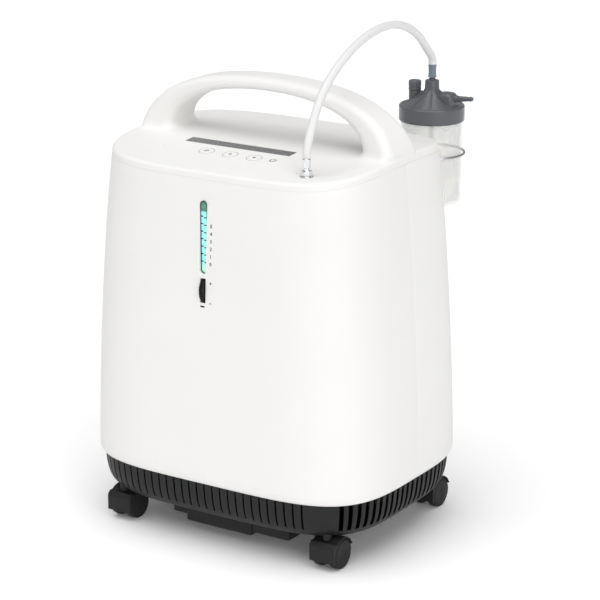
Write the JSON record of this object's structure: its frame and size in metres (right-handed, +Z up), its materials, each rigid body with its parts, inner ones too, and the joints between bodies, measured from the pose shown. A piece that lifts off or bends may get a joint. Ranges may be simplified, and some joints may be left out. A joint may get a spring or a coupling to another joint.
{
  "type": "oxygen concentrator",
  "caption": "Floor-standing oxygen concentrator on swivel casters, with an arched handle, a flowmeter, a control panel and a rear humidifier bottle fed by a hose.",
  "frame": {"origin": "on the floor, under the middle of the object's box (hose not counted)", "axes": "+Z up, -Y the front with the flowmeter, +X to the right of someone facing the front"},
  "size_m": [0.4, 0.3844, 0.6099],
  "materials": {
    "white_plastic": "satin white ABS",
    "black_plastic": "black textured ABS",
    "gloss_black": "black, glossy",
    "display_window": "smoked window",
    "lit_tube": "clear tube lit from behind",
    "lid_grey": "grey moulded polypropylene",
    "collar_grey": "blue-grey soft connector",
    "clear_plastic": "clear polycarbonate",
    "silicone": "milky translucent tube",
    "chrome": "plated brass",
    "aluminium": "plain aluminium",
    "steel": "plated steel",
    "rubber": "black rubber",
    "foam": "open-cell foam",
    "circuit_board": "solder mask"
  },
  "bodies": {
    "casing": {"front_shell": "white_plastic", "rear_shell": "white_plastic", "top_cover": "white_plastic", "handle": "white_plastic", "bottle_bracket": "white_plastic", "base_skirt": "black_plastic", "base_tray": "black_plastic", "bottom_duct": "black_plastic", "power_inlet": "black_plastic", "fan_frame": "black_plastic", "display_lens": "display_window", "flow_tube": "lit_tube", "humidifier_lid": "lid_grey", "hose_collar": "collar_grey", "humidifier_jar": "clear_plastic", "diffuser_tube": "clear_plastic", "feed_hose": "silicone", "outlet_fitting": "chrome", "flow_valve": "aluminium", "compressor_body": "aluminium", "cylinder_head_left": "aluminium", "cylinder_head_right": "aluminium", "sieve_bed_left": "aluminium", "sieve_bed_right": "aluminium", "oxygen_tank": "aluminium", "valve_manifold": "aluminium", "bottle_ring": "steel", "intake_filter": "foam", "control_board": "circuit_board", "caster_front_left_stem": "black_plastic", "isolator_front_left": "rubber", "caster_front_right_stem": "black_plastic", "isolator_front_right": "rubber", "caster_rear_left_stem": "black_plastic", "isolator_rear_left": "rubber", "caster_rear_right_stem": "black_plastic", "isolator_rear_right": "rubber"},
    "swivel_front_left": {"caster_front_left_hood": "black_plastic"},
    "wheel_front_left_left": {"caster_front_left_wheel_left": "rubber"},
    "wheel_front_left_right": {"caster_front_left_wheel_right": "rubber"},
    "swivel_front_right": {"caster_front_right_hood": "black_plastic"},
    "wheel_front_right_left": {"caster_front_right_wheel_left": "rubber"},
    "wheel_front_right_right": {"caster_front_right_wheel_right": "rubber"},
    "swivel_rear_left": {"caster_rear_left_hood": "black_plastic"},
    "wheel_rear_left_left": {"caster_rear_left_wheel_left": "rubber"},
    "wheel_rear_left_right": {"caster_rear_left_wheel_right": "rubber"},
    "swivel_rear_right": {"caster_rear_right_hood": "black_plastic"},
    "wheel_rear_right_left": {"caster_rear_right_wheel_left": "rubber"},
    "wheel_rear_right_right": {"caster_rear_right_wheel_right": "rubber"},
    "knob": {"flow_knob": "gloss_black"},
    "float": {"flow_float": "chrome"},
    "fan": {"fan_rotor": "gloss_black"},
    "button_alarm": {"button_alarm": "white_plastic"},
    "button_down": {"button_down": "white_plastic"},
    "button_up": {"button_up": "white_plastic"},
    "power_button": {"power_button": "white_plastic"},
    "breaker": {"breaker_button": "gloss_black"},
    "relief": {"relief_cap": "lid_grey"},
    "door": {"filter_door": "white_plastic"}
  },
  "joints": [
    {"name": "swivel_front_left_turn", "type": "hinge", "parent": "casing", "child": "swivel_front_left", "pos_m": [-0.146, -0.15325, 0.03], "axis": [0, 0, 1], "continuous": true},
    {"name": "wheel_front_left_left_roll", "type": "hinge", "parent": "swivel_front_left", "child": "wheel_front_left_left", "pos_m": [-0.157, -0.14425, 0.0185], "axis": [1, 0, 0], "continuous": true},
    {"name": "wheel_front_left_right_roll", "type": "hinge", "parent": "swivel_front_left", "child": "wheel_front_left_right", "pos_m": [-0.135, -0.14425, 0.0185], "axis": [1, 0, 0], "continuous": true},
    {"name": "swivel_front_right_turn", "type": "hinge", "parent": "casing", "child": "swivel_front_right", "pos_m": [0.146, -0.15325, 0.03], "axis": [0, 0, 1], "continuous": true},
    {"name": "wheel_front_right_left_roll", "type": "hinge", "parent": "swivel_front_right", "child": "wheel_front_right_left", "pos_m": [0.135, -0.14425, 0.0185], "axis": [1, 0, 0], "continuous": true},
    {"name": "wheel_front_right_right_roll", "type": "hinge", "parent": "swivel_front_right", "child": "wheel_front_right_right", "pos_m": [0.157, -0.14425, 0.0185], "axis": [1, 0, 0], "continuous": true},
    {"name": "swivel_rear_left_turn", "type": "hinge", "parent": "casing", "child": "swivel_rear_left", "pos_m": [-0.146, 0.07775, 0.03], "axis": [0, 0, 1], "continuous": true},
    {"name": "wheel_rear_left_left_roll", "type": "hinge", "parent": "swivel_rear_left", "child": "wheel_rear_left_left", "pos_m": [-0.157, 0.08675, 0.0185], "axis": [1, 0, 0], "continuous": true},
    {"name": "wheel_rear_left_right_roll", "type": "hinge", "parent": "swivel_rear_left", "child": "wheel_rear_left_right", "pos_m": [-0.135, 0.08675, 0.0185], "axis": [1, 0, 0], "continuous": true},
    {"name": "swivel_rear_right_turn", "type": "hinge", "parent": "casing", "child": "swivel_rear_right", "pos_m": [0.146, 0.07775, 0.03], "axis": [0, 0, 1], "continuous": true},
    {"name": "wheel_rear_right_left_roll", "type": "hinge", "parent": "swivel_rear_right", "child": "wheel_rear_right_left", "pos_m": [0.135, 0.08675, 0.0185], "axis": [1, 0, 0], "continuous": true},
    {"name": "wheel_rear_right_right_roll", "type": "hinge", "parent": "swivel_rear_right", "child": "wheel_rear_right_right", "pos_m": [0.157, 0.08675, 0.0185], "axis": [1, 0, 0], "continuous": true},
    {"name": "flow_knob_turn", "type": "hinge", "parent": "casing", "child": "knob", "pos_m": [-0.0028, -0.1714, 0.3214], "axis": [1, 0, 0], "range_deg": [0, 300]},
    {"name": "flow_float_rise", "type": "slide", "parent": "casing", "child": "float", "axis": [0, 0, 1], "range_m": [0, 0.07]},
    {"name": "fan_spin", "type": "hinge", "parent": "casing", "child": "fan", "pos_m": [0, 0.00225, 0.273], "axis": [0, 0, 1], "continuous": true},
    {"name": "button_alarm_press", "type": "slide", "parent": "casing", "child": "button_alarm", "axis": [0, 0, -1], "range_m": [0, 0.001], "stiffness_N_per_m": 400, "springref_m": -0.0005},
    {"name": "button_down_press", "type": "slide", "parent": "casing", "child": "button_down", "axis": [0, 0, -1], "range_m": [0, 0.001], "stiffness_N_per_m": 400, "springref_m": -0.0005},
    {"name": "button_up_press", "type": "slide", "parent": "casing", "child": "button_up", "axis": [0, 0, -1], "range_m": [0, 0.001], "stiffness_N_per_m": 400, "springref_m": -0.0005},
    {"name": "power_button_press", "type": "slide", "parent": "casing", "child": "power_button", "axis": [0, 0, -1], "range_m": [0, 0.001], "stiffness_N_per_m": 400, "springref_m": -0.0005},
    {"name": "breaker_press", "type": "slide", "parent": "casing", "child": "breaker", "axis": [0, -1, 0], "range_m": [0, 0.003], "stiffness_N_per_m": 600, "springref_m": -0.0005},
    {"name": "relief_cap_lift", "type": "slide", "parent": "casing", "child": "relief", "axis": [0, 0, 1], "range_m": [0, 0.002], "stiffness_N_per_m": 300, "springref_m": -0.0005},
    {"name": "filter_door_swing", "type": "hinge", "parent": "casing", "child": "door", "pos_m": [-0.1002, 0.11485, 0.322], "axis": [0, 0, 1], "range_deg": [0, 95]}
  ]
}
